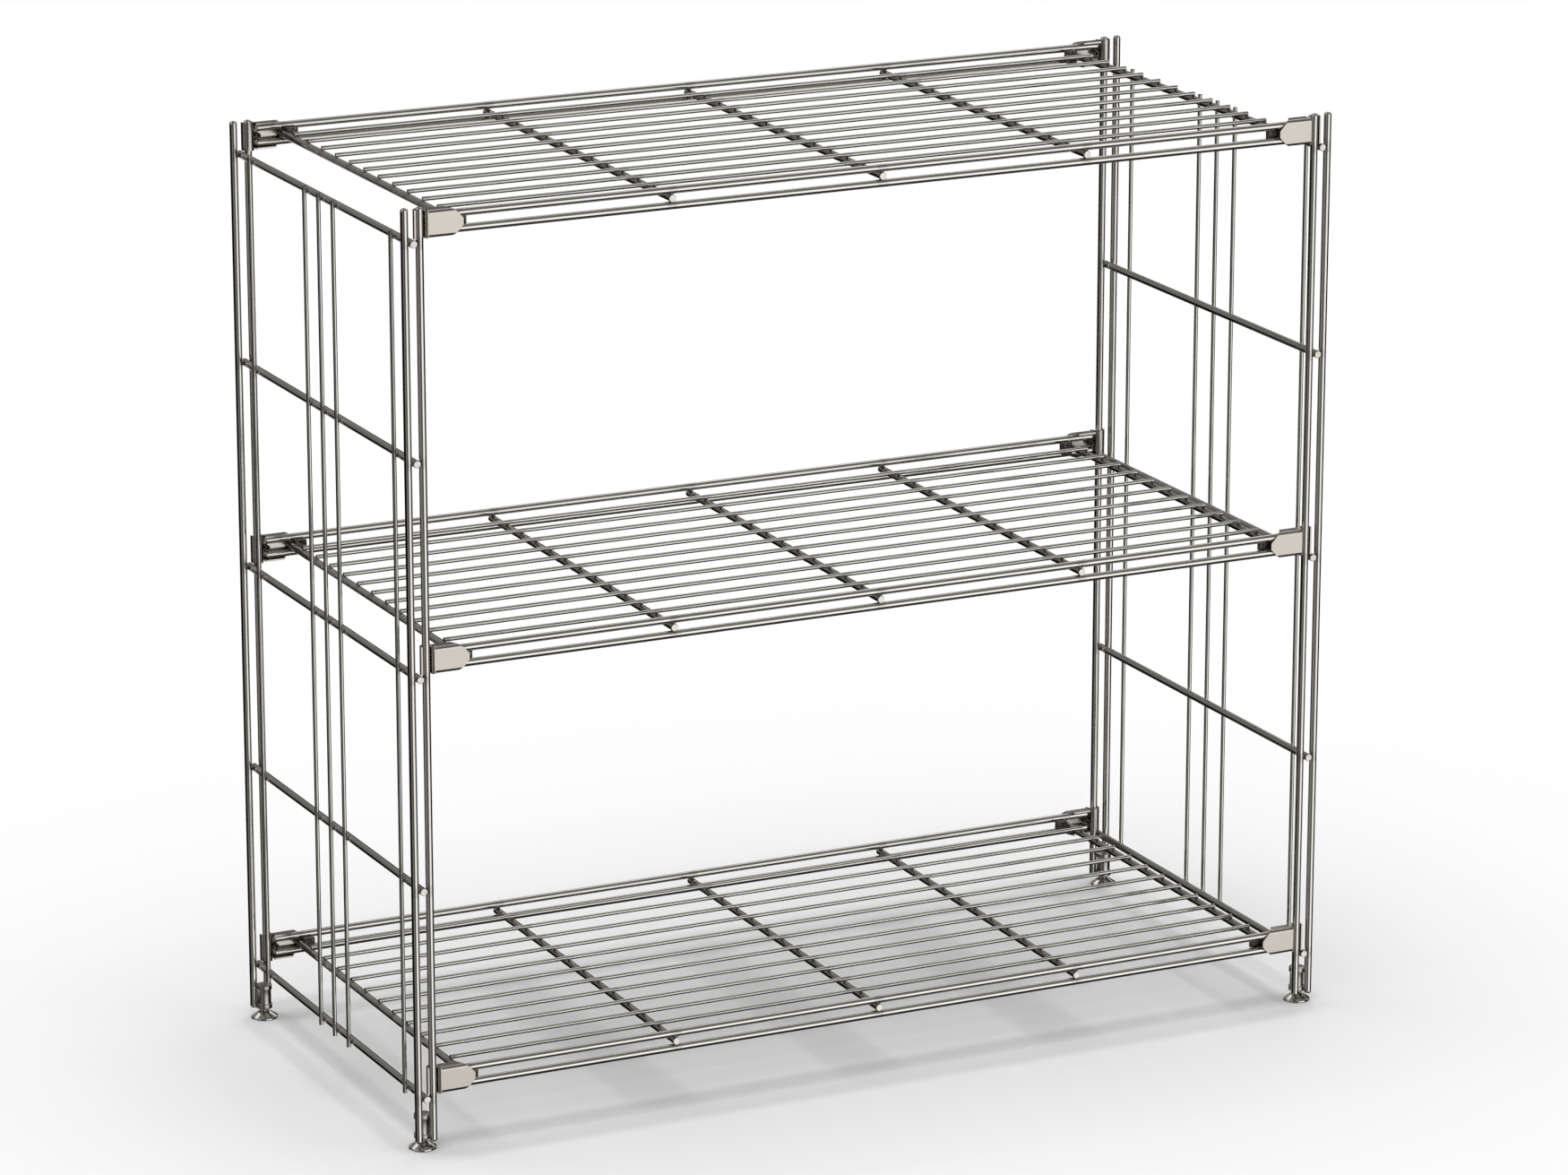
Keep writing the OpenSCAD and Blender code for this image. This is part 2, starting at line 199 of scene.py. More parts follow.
class Value:
    """A number in a shader: an expression on it adds the Math nodes that work it out."""

    def __init__(self, graph, socket):
        self.graph = graph
        self.socket = socket

    def math(self, operation, *others):
        inputs = dict(enumerate((self, *others)))
        return self.graph.node("ShaderNodeMath", {"operation": operation}, inputs)

    def __add__(self, other):
        return self.math("ADD", other)

    def __sub__(self, other):
        return self.math("SUBTRACT", other)

    def __mul__(self, other):
        return self.math("MULTIPLY", other)

    def __truediv__(self, other):
        return self.math("DIVIDE", other)

    def __rsub__(self, other):
        return (self * -1) + other

    __radd__ = __add__
    __rmul__ = __mul__

    def size(self):
        return self.math("ABSOLUTE")

    def nearest(self):
        return self.math("ROUND")

    def larger(self, other):
        return self.math("MAXIMUM", other)

    def rise(self, low, high):
        """0 below low, 1 above high and a smooth step between them."""
        return self.graph.node("ShaderNodeMapRange", {"interpolation_type": "SMOOTHSTEP"},
                               {"Value": self, "From Min": low, "From Max": high})


class Graph:
    """Builds the node tree of one material or of the world."""

    def __init__(self, tree):
        tree.nodes.clear()
        self.tree = tree

    def node(self, kind, settings=None, inputs=None, output=0):
        """Adds a node: its settings first, then its sockets' values or links."""
        node = self.tree.nodes.new(kind)
        for name, setting in (settings or {}).items():
            setattr(node, name, setting)
        for name, given in (inputs or {}).items():
            if isinstance(given, Value):
                self.tree.links.new(given.socket, node.inputs[name])
            elif hasattr(given, "__len__") and node.inputs[name].type == "RGBA":
                node.inputs[name].default_value = (*given, 1)
            else:
                node.inputs[name].default_value = given
        return Value(self, node.outputs[output])

    def place(self):
        """The point on the piece, in metres, in the rack's own frame."""
        return self.node("ShaderNodeTexCoord", output="Object")

    def axes(self):
        """The point's three coordinates as numbers."""
        split = self.node("ShaderNodeSeparateXYZ", inputs={0: self.place()})
        return [Value(self, split.socket.node.outputs[i]) for i in range(3)]

    def grain(self, wavelengths, detail=3.0):
        """Noise with a wavelength of its own along x, y and z, for drawn and brushed steel."""
        scales = tuple(1 / wavelength for wavelength in wavelengths)
        stretched = self.node("ShaderNodeMapping", {"vector_type": "POINT"},
                              {"Vector": self.place(), "Scale": scales})
        return self.node("ShaderNodeTexNoise",
                         inputs={"Vector": stretched, "Scale": 1.0, "Detail": detail})

    def rays(self, kind):
        """1 for rays of one kind, such as those that the camera sends, and 0 for the others."""
        return self.node("ShaderNodeLightPath", output=kind)

    def mix(self, factor, first, second):
        """A colour between two colours."""
        return self.node("ShaderNodeMix", {"data_type": "RGBA"},
                         {0: factor, 6: first, 7: second}, output=2)

    def shade(self, first, factor):
        """A colour made darker or lighter by a number."""
        return self.node("ShaderNodeVectorMath", {"operation": "SCALE"}, {0: first, "Scale": factor})

    def finish(self, shader, kind="ShaderNodeOutputMaterial"):
        """Links the last shader to the output."""
        output = self.tree.nodes.new(kind)
        self.tree.links.new(shader.socket, output.inputs["Surface"])

    def metal(self, colour, roughness, strength, depth, height):
        """Bare metal with a fine relief: height times depth, in metres, at a strength."""
        relief = self.node("ShaderNodeBump", inputs={
            "Strength": strength, "Distance": depth, "Height": height})
        self.finish(self.node("ShaderNodeBsdfPrincipled", inputs={
            "Base Color": colour, "Metallic": 1.0, "Roughness": roughness, "Normal": relief}))


def material(name):
    """A new material and the graph that fills it."""
    made = bpy.data.materials.new(name)
    made.use_nodes = True
    return made, Graph(made.node_tree)


def repeat_mask(number, start, pitch, near, far):
    """1 within near of the marks at start + k * pitch, falling smoothly to 0 at far."""
    steps = (number - start) / pitch
    return 1 - ((steps - steps.nearest()).size() * pitch).rise(near, far)


def drawn_steel(name, look, axis, start, pitch):
    """Polished drawn bar: fine lines along the axis, faint mottling and heat tint at its welds.

    The welds lie at start + k * pitch along the axis, in metres.
    """
    made, g = material(name)
    fine = [0.35 * MM] * 3
    fine[axis] = 30 * MM
    broad = [6 * MM] * 3
    broad[axis] = 45 * MM
    lines = g.grain(fine, 4.0)
    mottle = g.grain(broad, 2.0)
    patchy = g.grain([2.2 * MM] * 3, 3.0).rise(0.30, 0.72)
    near_weld = repeat_mask(g.axes()[axis], start, pitch, 2.2 * MM, 8.5 * MM)
    base = g.shade(look.bar_colour, mottle * 0.08 + 0.96)
    base = g.mix(near_weld * (patchy * 0.40 + 0.22), base, look.tint_colour)
    rough = lines * 0.06 + mottle * 0.04 + (look.bar_roughness - 0.05)
    g.metal(base, rough, strength=0.03, depth=0.4 * MM, height=lines * 0.35 + mottle)
    return made


def satin_sheet(name, look):
    """Cold-rolled sheet: short brushed grain along x, soft stains and small press marks."""
    made, g = material(name)
    brushed = g.grain((14 * MM, 0.3 * MM, 0.3 * MM), 5.0)
    stain = g.grain((18 * MM, 18 * MM, 10 * MM), 3.0)
    press = g.grain([1.6 * MM] * 3, 2.0).rise(0.62, 0.78)
    base = g.shade(look.sheet_colour, stain * 0.06 + brushed * 0.03 + 0.955)
    rough = brushed * 0.08 + stain * 0.06 + press * 0.03 + (look.sheet_roughness - 0.07)
    g.metal(base, rough, strength=0.05, depth=0.3 * MM, height=brushed + press * 0.3)
    return made


def weld_steel(name, look, low=0.75, high=1.45, rough=0.28, depth=0.4 * MM):
    """Dull weld metal: uneven beads with straw, brown and grey heat tint, in shades low to high."""
    made, g = material(name)
    lumps = g.grain([1.6 * MM] * 3, 3.0)
    tint = g.grain([5 * MM] * 3, 2.0).rise(0.32, 0.68)
    base = g.mix(tint * 0.6, look.weld_colour, look.tint_colour)
    base = g.shade(base, (lumps * (high - low) + low).larger(0.05))
    g.metal(base, lumps * 0.25 + rough, strength=0.45, depth=depth, height=lumps)
    return made


def turned_steel(name, look, level=1.0, rough=0.07):
    """Lathe-turned steel of the feet: fine rings round an upright axis, darker in mottled patches low
    down.
    """
    made, g = material(name)
    rings = g.grain((4 * MM, 4 * MM, 0.22 * MM), 3.0)
    mottle = g.grain([4 * MM] * 3, 3.0)
    # Darker in mottled patches below 3 mm height, fading out from 0.4 mm up.
    low_darkening = (1 - g.axes()[Z].rise(0.4 * MM, 3 * MM)) * mottle
    base = g.shade(look.bar_colour, (mottle * 0.10 + 1.08) * level)
    base = g.mix(low_darkening * 0.20, base, look.tint_colour)
    rough = rings * 0.06 + mottle * 0.05 + rough
    g.metal(base, rough, strength=0.04, depth=0.2 * MM, height=rings)
    return made


# ---------------------------------------------------------------- surfaces


def grid_faces(rows, columns):
    """Quads of a rows by columns grid of points that closes on itself across the columns."""
    i = np.arange(rows - 1)[:, None] * columns
    j = np.arange(columns)[None, :]
    k = (j + 1) % columns
    return np.stack([i + j, i + k, i + columns + k, i + columns + j], -1).reshape(-1, 4)


def closed_rings(rings):
    """Points and faces of stacked rings, rows by columns by 3, closed by a fan at both ends."""
    rows, columns = rings.shape[:2]
    points = np.concatenate([rings.reshape(-1, 3), rings[:1].mean(1), rings[-1:].mean(1)])
    j = np.arange(columns)
    k = (j + 1) % columns
    last = (rows - 1) * columns
    low = np.stack([k, j, np.full(columns, rows * columns)], -1)
    high = np.stack([last + j, last + k, np.full(columns, rows * columns + 1)], -1)
    return points, [grid_faces(rows, columns), low, high]


def turned(profile, columns=40):
    """A lathe surface about z: each (r, h) of the profile gives (r cos t, r sin t, h).

    With r to the right and h upwards, the profile runs with the solid on its left.
    """
    profile = np.asarray(profile, float)
    t = np.linspace(0, 2 * np.pi, columns, endpoint=False)
    circle = np.stack([np.cos(t), np.sin(t)], -1)
    rings = np.empty((len(profile), columns, 3))
    rings[..., :2] = profile[:, None, :1] * circle
    rings[..., 2] = profile[:, None, 1]
    return closed_rings(rings)


def rounded(corners, radius, steps=3):
    """Replaces each inner corner of a profile by a quadratic curve that starts and ends radius away.

    Point(u) = (1-u)^2 * start + 2u(1-u) * corner + u^2 * end. On a short side the curve takes up
    a share of it at most, so that two curves never meet.
    """
    share = 0.45
    corners = np.asarray(corners, float)
    here = corners[1:-1]
    tips = []
    for beside in (corners[:-2], corners[2:]):
        side = beside - here
        length = np.linalg.norm(side, axis=1)[:, None]
        tips.append((here + side / length * np.minimum(radius, share * length))[:, None])
    u = np.linspace(0, 1, steps + 1)[None, :, None]
    curve = (1 - u) ** 2 * tips[0] + 2 * u * (1 - u) * here[:, None] + u ** 2 * tips[1]
    return np.concatenate([corners[:1], curve.reshape(-1, 2), corners[-1:]])


def weld(contact, normal, lower_r, upper_r, reach, columns=12):
    """The spool of metal where a rod, the upper one, lies across a lower rod that runs along y.

    At angle t and distance reach from the contact, the lower rod's surface lies
    lower_r - sqrt(lower_r^2 - (reach cos t)^2) below the tangent plane and the upper rod's lies
    upper_r - sqrt(upper_r^2 - (reach sin t)^2) above it. The side joins the two and is pinched
    halfway up, and both rims are sunk a little into the rods.
    """
    normal = np.asarray(normal, float)
    along = np.array([0.0, 1.0, 0.0])
    across = np.cross(along, normal)
    t = np.linspace(0, 2 * np.pi, columns, endpoint=False)[None, :]
    u = np.array([0, 0.3, 0.7, 1])[:, None]
    sink = 0.12 * MM
    pinch = 0.9
    below = -(lower_r - np.sqrt(lower_r ** 2 - (reach * np.cos(t)) ** 2)) - sink
    above = upper_r - np.sqrt(upper_r ** 2 - (reach * np.sin(t)) ** 2) + sink
    radius = reach * (1 - pinch * u * (1 - u))
    height = (1 - u) * below + u * above
    rings = (np.asarray(contact, float)
             + (radius * np.cos(t))[..., None] * across
             + (radius * np.sin(t))[..., None] * along
             + height[..., None] * normal)
    return closed_rings(rings)


def screw(radius, depth, pitch, low, high, columns=32):
    """A cylinder whose radius falls by depth in a rounded groove along a helix.

    radius(t, z) = radius - depth * (0.5 - 0.5 cos(2 pi z / pitch - t)) ^ power. At both ends the
    groove fades into a chamfer.
    """
    rows_per_turn = 8
    power = 0.8
    fade_length = 0.7 * MM
    chamfer = 0.5 * MM
    rows = int(round((high - low) / pitch * rows_per_turn)) + 1
    z = np.linspace(low, high, rows)[:, None]
    t = np.linspace(0, 2 * np.pi, columns, endpoint=False)[None, :]
    groove = (0.5 - 0.5 * np.cos(2 * np.pi * z / pitch - t)) ** power
    fade = np.clip(np.minimum(z - low, high - z) / fade_length, 0, 1)
    r = radius - depth * groove * fade - chamfer * (1 - fade)
    rings = np.stack([r * np.cos(t), r * np.sin(t), z + 0 * t], -1)
    return closed_rings(rings)


def lump(low, high, power=0.12, rows=17, columns=32):
    """A rounded box: x = a c(v) c(t), y = b c(v) s(t), z = h s(v).

    c and s are the signed cosine and sine raised to a small power, so flat sides meet in round edges.
    """
    low, high = np.asarray(low), np.asarray(high)
    v = np.linspace(-np.pi / 2, np.pi / 2, rows + 2)[1:-1, None]
    t = np.linspace(0, 2 * np.pi, columns, endpoint=False)[None, :] + np.pi / columns
    waves = (np.cos(v), np.sin(v), np.cos(t), np.sin(t))
    c_v, s_v, c_t, s_t = (np.sign(wave) * np.abs(wave) ** power for wave in waves)
    unit = np.stack([c_v * c_t, c_v * s_t, s_v + 0 * t], -1)
    return closed_rings((low + high) / 2 + unit * (high - low) / 2)


def moved(shape, place, turn=None):
    """The shape with its points turned by a 3 by 3 matrix and moved."""
    points, faces = shape
    if turn is not None:
        points = points @ np.asarray(turn, float).T
    return points + np.asarray(place, float), faces


def piece(name, shapes, body, finish, smooth_angle=35):
    """One object from closed shapes, riding on a body; edges sharper than smooth_angle stay crisp."""
    points, faces, offset = [], [], 0
    for shape_points, shape_faces in shapes:
        points.append(shape_points)
        for block in shape_faces:
            faces.extend((block + offset).tolist())
        offset += len(shape_points)
    mesh = bpy.data.meshes.new(name)
    mesh.from_pydata(np.concatenate(points).tolist(), [], faces)
    mesh.validate()
    mesh.materials.append(finish)
    mesh.shade_smooth()
    mesh.set_sharp_from_angle(angle=math.radians(smooth_angle))
    made = bpy.data.objects.new(name, mesh)
    bpy.context.scene.collection.objects.link(made)
    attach(made, body)
    return made


# ---------------------------------------------------------------- places on the frame


def ends(node):
    """Lowest and highest corner of a frame node as arrays."""
    low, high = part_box(node)
    return np.array(low), np.array(high)


def middle(node):
    """Middle of a frame node's box."""
    low, high = ends(node)
    return (low + high) / 2


def half(node, axis):
    """Half the width of a frame node's box along an axis: across a rod, the rod's radius."""
    low, high = ends(node)
    return (high[axis] - low[axis]) / 2


def spread(node, along, across, count):
    """Places along one direction of a node's equal rods, whose radius is measured across."""
    low, high = ends(node)
    radius = half(node, across)
    return np.linspace(low[along] + radius, high[along] - radius, count)


def dress(nodes, finish):
    """Gives frame nodes a finish."""
    for name in nodes:
        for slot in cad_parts[name].material_slots:
            slot.material = finish


# ---------------------------------------------------------------- profiles and welds of the pieces


def rivet_profile(sizes, radius):
    """A rivet with a blind hole in its far end."""
    length = sizes.rivet_length
    hole = sizes.rivet_hole
    bottom = length - sizes.rivet_hole_depth
    corners = [(0, 0), (radius, 0), (radius, length), (hole, length), (hole, bottom), (0, bottom)]
    return rounded(corners, sizes.edge_round)


def sleeve_profile(sizes, rim, bottom, top):
    """A foot sleeve with a rim at each end, a slimmer side between them and a bore from below."""
    side = rim - sizes.sleeve_waist
    bore = sizes.sleeve_bore
    roof = top - sizes.sleeve_roof
    lower, upper = bottom + sizes.sleeve_rim, top - sizes.sleeve_rim
    corners = [(0, roof), (bore, roof), (bore, bottom), (rim, bottom), (rim, lower), (side, lower),
               (side, upper), (rim, upper), (rim, top), (0, top)]
    return rounded(corners, sizes.edge_round)


def pad_profile(sizes, rim, top):
    """A foot pad with a low upright edge and a cone up to its flat top."""
    corners = [(0, 0), (rim, 0), (rim, sizes.pad_edge), (sizes.pad_hub, top), (0, top)]
    return rounded(corners, 2 * sizes.edge_round)


def rod_welds(sizes, rod, rod_r, wire_side, wires, wire_r, bars, bar_r):
    """All welds on a rod that runs along y: wires on one side, and bars on that and the far side.

    rod is a point of its axis at y = 0, and wires and bars are places along y.
    """
    rod = np.asarray(rod, float)
    wire_side = np.asarray(wire_side, float)
    welds = [weld(rod + (0, y, 0) + rod_r * wire_side, wire_side, rod_r, wire_r, sizes.wire_weld)
             for y in wires]
    for y in bars:
        for normal in (-wire_side, wire_side):
            contact = rod + (0, y, 0) + rod_r * normal
            welds.append(weld(contact, normal, rod_r, bar_r, sizes.rod_weld))
    return welds


# ---------------------------------------------------------------- operators


class RACK_OT_posts(bpy.types.Operator):
    """Finish the upright posts and side wires of both end frames"""

    bl_idname = "rack.posts"
    bl_label = "Posts and side wires"

    def execute(self, context):
        heights = spread("left_crossbars", Z, X, BAR_COUNT)
        finish = drawn_steel("upright_bar_steel", context.scene.rack_steel, Z,
                             heights[0], heights[1] - heights[0])
        dress([f"{s}_{f}_{p}_post" for s in SIDES for f in FACES for p in POSTS], finish)
        dress([f"{s}_side_wires" for s in SIDES], finish)
        return {"FINISHED"}


class RACK_OT_crossbars(bpy.types.Operator):
    """Finish the crossbars of both end frames"""

    bl_idname = "rack.crossbars"
    bl_label = "Crossbars"

    def execute(self, context):
        front = middle("left_front_outer_post")[Y]
        finish = drawn_steel("crossbar_steel", context.scene.rack_steel, Y, front, -2 * front)
        dress([f"{s}_crossbars" for s in SIDES], finish)
        return {"FINISHED"}


class RACK_OT_shelf_bars(bpy.types.Operator):
    """Finish the rails, cross rods and long wires of the shelves"""

    bl_idname = "rack.shelf_bars"
    bl_label = "Shelf rails, rods and wires"

    def execute(self, context):
        look = context.scene.rack_steel
        rods = spread("top_shelf_cross_rods", X, Z, ROD_COUNT)
        wires = spread("top_shelf_wires", Y, Z, SHELF_WIRE_COUNT)
        long_finish = drawn_steel("long_bar_steel", look, X, rods[0], rods[1] - rods[0])
        cross_finish = drawn_steel("cross_rod_steel", look, Y, wires[0], wires[1] - wires[0])
        for shelf in SHELVES:
            dress([f"{shelf}_shelf_{f}_{p}_rail" for f in FACES for p in RAILS], long_finish)
            dress([f"{shelf}_shelf_wires"], long_finish)
            dress([f"{shelf}_shelf_cross_rods"], cross_finish)
        return {"FINISHED"}


class RACK_OT_brackets(bpy.types.Operator):
    """Finish the bent sheet brackets at the shelf corners"""

    bl_idname = "rack.brackets"
    bl_label = "Corner brackets"

    def execute(self, context):
        finish = satin_sheet("satin_sheet_steel", context.scene.rack_steel)
        dress([f"{n}_shelf_{f}_{s}_bracket" for n in SHELVES for f in FACES for s in SIDES], finish)
        return {"FINISHED"}


class RACK_OT_corner_pieces(bpy.types.Operator):
    """Shape the rolled rivets and the weld blocks behind the brackets"""

    bl_idname = "rack.corner_pieces"
    bl_label = "Rivets and weld blocks"

    def execute(self, context):
        sizes = context.scene.rack_sizes
        # Partly painted shade: the weld masses and rivets take the weld steel far darker than the other
        # welds. This is dull weld metal darkened further for the shade they sit in behind the rails and
        # brackets.
        dull = weld_steel("dull_weld_steel_and_painted_shade", context.scene.rack_steel, low=-1.1, high=2.1,
                          rough=0.32, depth=4 * MM)
        corners = [(side, face) for side in (-1, 1) for face in (-1, 1)]
        for shelf in SHELVES:
            low, high = ends(f"{shelf}_shelf_weld_blocks")
            blocks = []
            for side, face in corners:
                outer = np.where([side < 0, face < 0, True], low, high)
                inner = outer + np.array(sizes.weld_mass) * np.array([-side, -face, 1])
                outer[X] += side * sizes.weld_overlap
                blocks.append(lump(np.minimum(outer, inner), np.maximum(outer, inner)))
            made = piece(f"{shelf}_weld_mass", blocks, f"{shelf}_shelf", dull)
            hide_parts(f"{shelf}_shelf_weld_blocks")

            low, high = ends(f"{shelf}_shelf_rivets")
            radius = half(f"{shelf}_shelf_rivets", Z)
            height = middle(f"{shelf}_shelf_rivets")[Z]
            rivet = turned(rivet_profile(sizes, radius), columns=28)
            rivets = []
            for side, face in corners:
                foot = (side * (high[X] - radius), low[Y] if face < 0 else high[Y], height)
                turn = [[1, 0, 0], [0, 0, -face], [0, face, 0]]
                rivets.append(moved(rivet, foot, turn))
            made = piece(f"{shelf}_rolled_rivets", rivets, f"{shelf}_shelf", dull)
            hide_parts(f"{shelf}_shelf_rivets")
        return {"FINISHED"}


class RACK_OT_feet(bpy.types.Operator):
    """Turn the foot sleeves, threaded studs and round pads"""

    bl_idname = "rack.feet"
    bl_label = "Levelling feet"

    def execute(self, context):
        sizes = context.scene.rack_sizes
        look = context.scene.rack_steel
        finish = turned_steel("turned_foot_steel", look)
        # The sleeves take a darker, rougher copy of the turned steel.
        darker_rougher_sleeve = turned_steel("turned_sleeve_steel", look, level=0.62, rough=0.20)
        for side in SIDES:
            low, high = ends(f"{side}_foot_sleeves")
            rim = half(f"{side}_foot_sleeves", X)
            sleeve = turned(sleeve_profile(sizes, rim, low[Z], high[Z]))
            sleeves = []
            for face in FACES:
                pad_node = f"{face}_{side}_foot_pad"
                stud_node = f"{face}_{side}_foot_stud"
                spot = middle(pad_node) * (1, 1, 0)
                sleeves.append(moved(sleeve, spot))

                low, high = ends(stud_node)
                stud = screw(half(stud_node, X), sizes.thread_depth, sizes.thread_pitch,
                             low[Z], high[Z])
                made = piece(f"{face}_{side}_threaded_stud", [moved(stud, spot)],
                             f"{face}_{side}_foot", finish, smooth_angle=60)
                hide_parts(f"{face}_{side}_foot_stud")

                low, high = ends(pad_node)
                pad = turned(pad_profile(sizes, half(pad_node, X), high[Z]), columns=56)
                made = piece(f"{face}_{side}_turned_pad", [moved(pad, spot)],
                             f"{face}_{side}_foot", finish)
                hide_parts(f"{face}_{side}_foot_pad")
            made = piece(f"{side}_turned_sleeves", sleeves, "end_frames", darker_rougher_sleeve)
            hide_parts(f"{side}_foot_sleeves")
        return {"FINISHED"}


class RACK_OT_frame_welds(bpy.types.Operator):
    """Weld the crossbars to the posts and the side wires to the crossbars"""

    bl_idname = "rack.frame_welds"
    bl_label = "End frame welds"

    def execute(self, context):
        sizes = context.scene.rack_sizes
        finish = weld_steel("frame_weld_steel", context.scene.rack_steel)
        for side, sign in zip(SIDES, (-1, 1)):
            bars = f"{side}_crossbars"
            side_wires = f"{side}_side_wires"
            post = f"{side}_rear_outer_post"
            outer = ends(side_wires)[1][Y] - half(side_wires, X)
            wires = (-outer, -sizes.side_wire_step, 0, sizes.side_wire_step, outer)
            posts = (-middle(post)[Y], middle(post)[Y])
            welds = []
            for height in spread(bars, Z, X, BAR_COUNT):
                welds += rod_welds(sizes, (middle(bars)[X], 0, height), half(bars, X), (sign, 0, 0),
                                   wires, half(side_wires, X), posts, half(post, X))
            piece(f"{side}_frame_welds", welds, "end_frames", finish)
        return {"FINISHED"}


class RACK_OT_shelf_welds(bpy.types.Operator):
    """Weld the wires and rails of each shelf to its cross rods"""

    bl_idname = "rack.shelf_welds"
    bl_label = "Shelf welds"

    def execute(self, context):
        sizes = context.scene.rack_sizes
        finish = weld_steel("shelf_weld_steel", context.scene.rack_steel)
        for shelf in SHELVES:
            rods = f"{shelf}_shelf_cross_rods"
            long_wires = f"{shelf}_shelf_wires"
            rail = f"{shelf}_shelf_rear_upper_rail"
            wires = spread(long_wires, Y, Z, SHELF_WIRE_COUNT)
            rails = (-middle(rail)[Y], middle(rail)[Y])
            welds = []
            for x in spread(rods, X, Z, ROD_COUNT):
                welds += rod_welds(sizes, (x, 0, middle(rods)[Z]), half(rods, Z), (0, 0, 1),
                                   wires, half(long_wires, Z), rails, half(rail, Z))
            piece(f"{shelf}_shelf_welds", welds, f"{shelf}_shelf", finish)
        return {"FINISHED"}


# The camera's sensor in millimetres, and how far it sees in metres.
SENSOR_WIDTH = 36
CAMERA_REACH = 200


class RACK_OT_camera(bpy.types.Operator):
    """Place the camera to the front left, above the rack"""

    bl_idname = "rack.camera"
    bl_label = "Camera"

    def execute(self, context):
        look = context.scene.rack_studio
        data = bpy.data.cameras.new("rack_camera")
        data.sensor_width = SENSOR_WIDTH
        data.sensor_fit = "HORIZONTAL"
        data.lens = look.lens
        data.clip_end = CAMERA_REACH
        camera = bpy.data.objects.new("rack_camera", data)
        camera.location = look.camera_place
        camera.rotation_euler = (math.pi / 2 - look.camera_pitch, 0, -look.camera_yaw)
        context.scene.collection.objects.link(camera)
        context.scene.camera = camera
        return {"FINISHED"}


# The studio as the polished steel sees it: azimuth from straight ahead of the rack towards its
# right, elevation, half widths of both, softness of the edges (all in degrees) and brightness.
PANELS = (
    # In front: a wide bright screen, its brighter middle, and two dim strips on its left.
    (19.5, 0.5, 27.5, 25.5, 4, 1.32),
    (23, 4, 18, 14, 8, 1.55),
    (-61, -10, 13, 34, 6, 0.27),
    (-32, -10, 22, 34, 8, 0.11),
    # Overhead, and high and low in front on the right: large and dim.
    (0, 80, 180, 26, 12, 0.20),
    (40, 50, 60, 24, 8, 0.20),
    (60, -62, 60, 24, 8, 0.04),
    # Behind: a dim sheet, a small lighter patch on it, and bright ones round about.
    (192, 22, 34, 24, 8, 0.20),
    (176, 29, 9, 5, 5, 0.36),
    (137, 42, 19, 21, 4, 1.00),
    (175, 6, 14, 7, 4, 0.90),
    (196, 52, 30, 11, 5, 1.10),
    (158, -15, 29, 7, 3, 0.85),
    (238, -40, 24, 16, 4, 0.90),
    # On the left and on the right.
    (-92, 30, 26, 24, 10, 0.80),
    (92, 18, 18, 16, 8, 0.50),
)
STUDIO_DARK = 0.004
WARM_WHITE = (1.0, 0.992, 0.972)


def even_world(look):
    """White where it is looked at, and dim in the light that it throws on what is dull."""
    world = bpy.data.worlds.new("even_white")
    world.use_nodes = True
    g = Graph(world.node_tree)
    seen = g.rays("Is Camera Ray").larger(g.rays("Is Glossy Ray"))
    seen = seen.larger(g.rays("Is Transmission Ray"))
    g.finish(g.node("ShaderNodeBackground", inputs={
        "Color": (1, 1, 1), "Strength": seen * (1 - look.dome_light) + look.dome_light}),
        "ShaderNodeOutputWorld")
    return world


def soft_box(look):
    """The square lamp overhead, which is seen neither by the camera nor in the steel.

    With half angle a and radiance L it throws 4 L sin(a) atan(sin(a)) on the floor below its
    middle. White paper shows that over pi, and the lamp's power is pi L times its area.
    """
    lean = math.sin(look.box_angle)
    lamp = bpy.data.lights.new("soft_box", "AREA")
    lamp.size = 2 * look.box_height * math.tan(look.box_angle)
    lamp.energy = look.box_light * math.pi ** 2 / 4 * lamp.size ** 2 / (lean * math.atan(lean))
    box = bpy.data.objects.new("soft_box", lamp)
    box.location = (0, 0, look.box_height)
    box.visible_camera = False
    box.visible_glossy = False
    return box


def floor_paper(look):
    """White paper with a shade painted into its colour: darkest over the middle of the rack and fading
    outwards.
    """
    made, g = material("floor_paper")
    x, y, _ = g.axes()
    across = (x.size() - look.painted_shade_core[X]).larger(0)
    deep = (y.size() - look.painted_shade_core[Y]).larger(0)
    reach = (across * across + deep * deep).math("SQRT")
    # Painted shadow: the paper's colour is darkest inside the core and grows lighter with distance out
    # of it.
    shade = 1 - (reach * (-1 / look.painted_shade_reach)).math("EXPONENT") * look.painted_floor_shade
    fleck = g.grain([0.9] * 3, 2.0)
    g.finish(g.node("ShaderNodeBsdfPrincipled", inputs={
        "Base Color": g.shade(look.floor_colour, shade * (fleck * 0.01 + 0.995)),
        "Roughness": 1.0, "Specular IOR Level": 0.0}))
    return made


def studio_panels(look):
    """Light of the shell: the brightest panel in each direction, and almost none elsewhere."""
    made, g = material("studio_panels")
    x, y, z = g.axes()
    round_about = x.math("ARCTAN2", y * -1) * (180 / math.pi)
    up = (z / look.shell_radius).math("ARCSINE") * (180 / math.pi)
    light = STUDIO_DARK
    for azimuth, elevation, wide, high, soft, bright in PANELS:
        turn = (round_about - azimuth) / 360
        off = (turn - turn.nearest()).size() * 360
        patch = ((1 - off.rise(wide - soft, wide + soft))
                 * (1 - (up - elevation).size().rise(high - soft, high + soft)) * bright)
        light = patch.larger(light)
    g.finish(g.node("ShaderNodeEmission", inputs={"Color": WARM_WHITE, "Strength": light}))
    made.cycles.emission_sampling = "NONE"
    return made


def backdrop(name, points, faces, finish):
    """An object of the studio, in place in the scene."""
    mesh = bpy.data.meshes.new(name)
    mesh.from_pydata(points, [], faces)
    mesh.materials.append(finish)
    made = bpy.data.objects.new(name, mesh)
    bpy.context.scene.collection.objects.link(made)
    return made


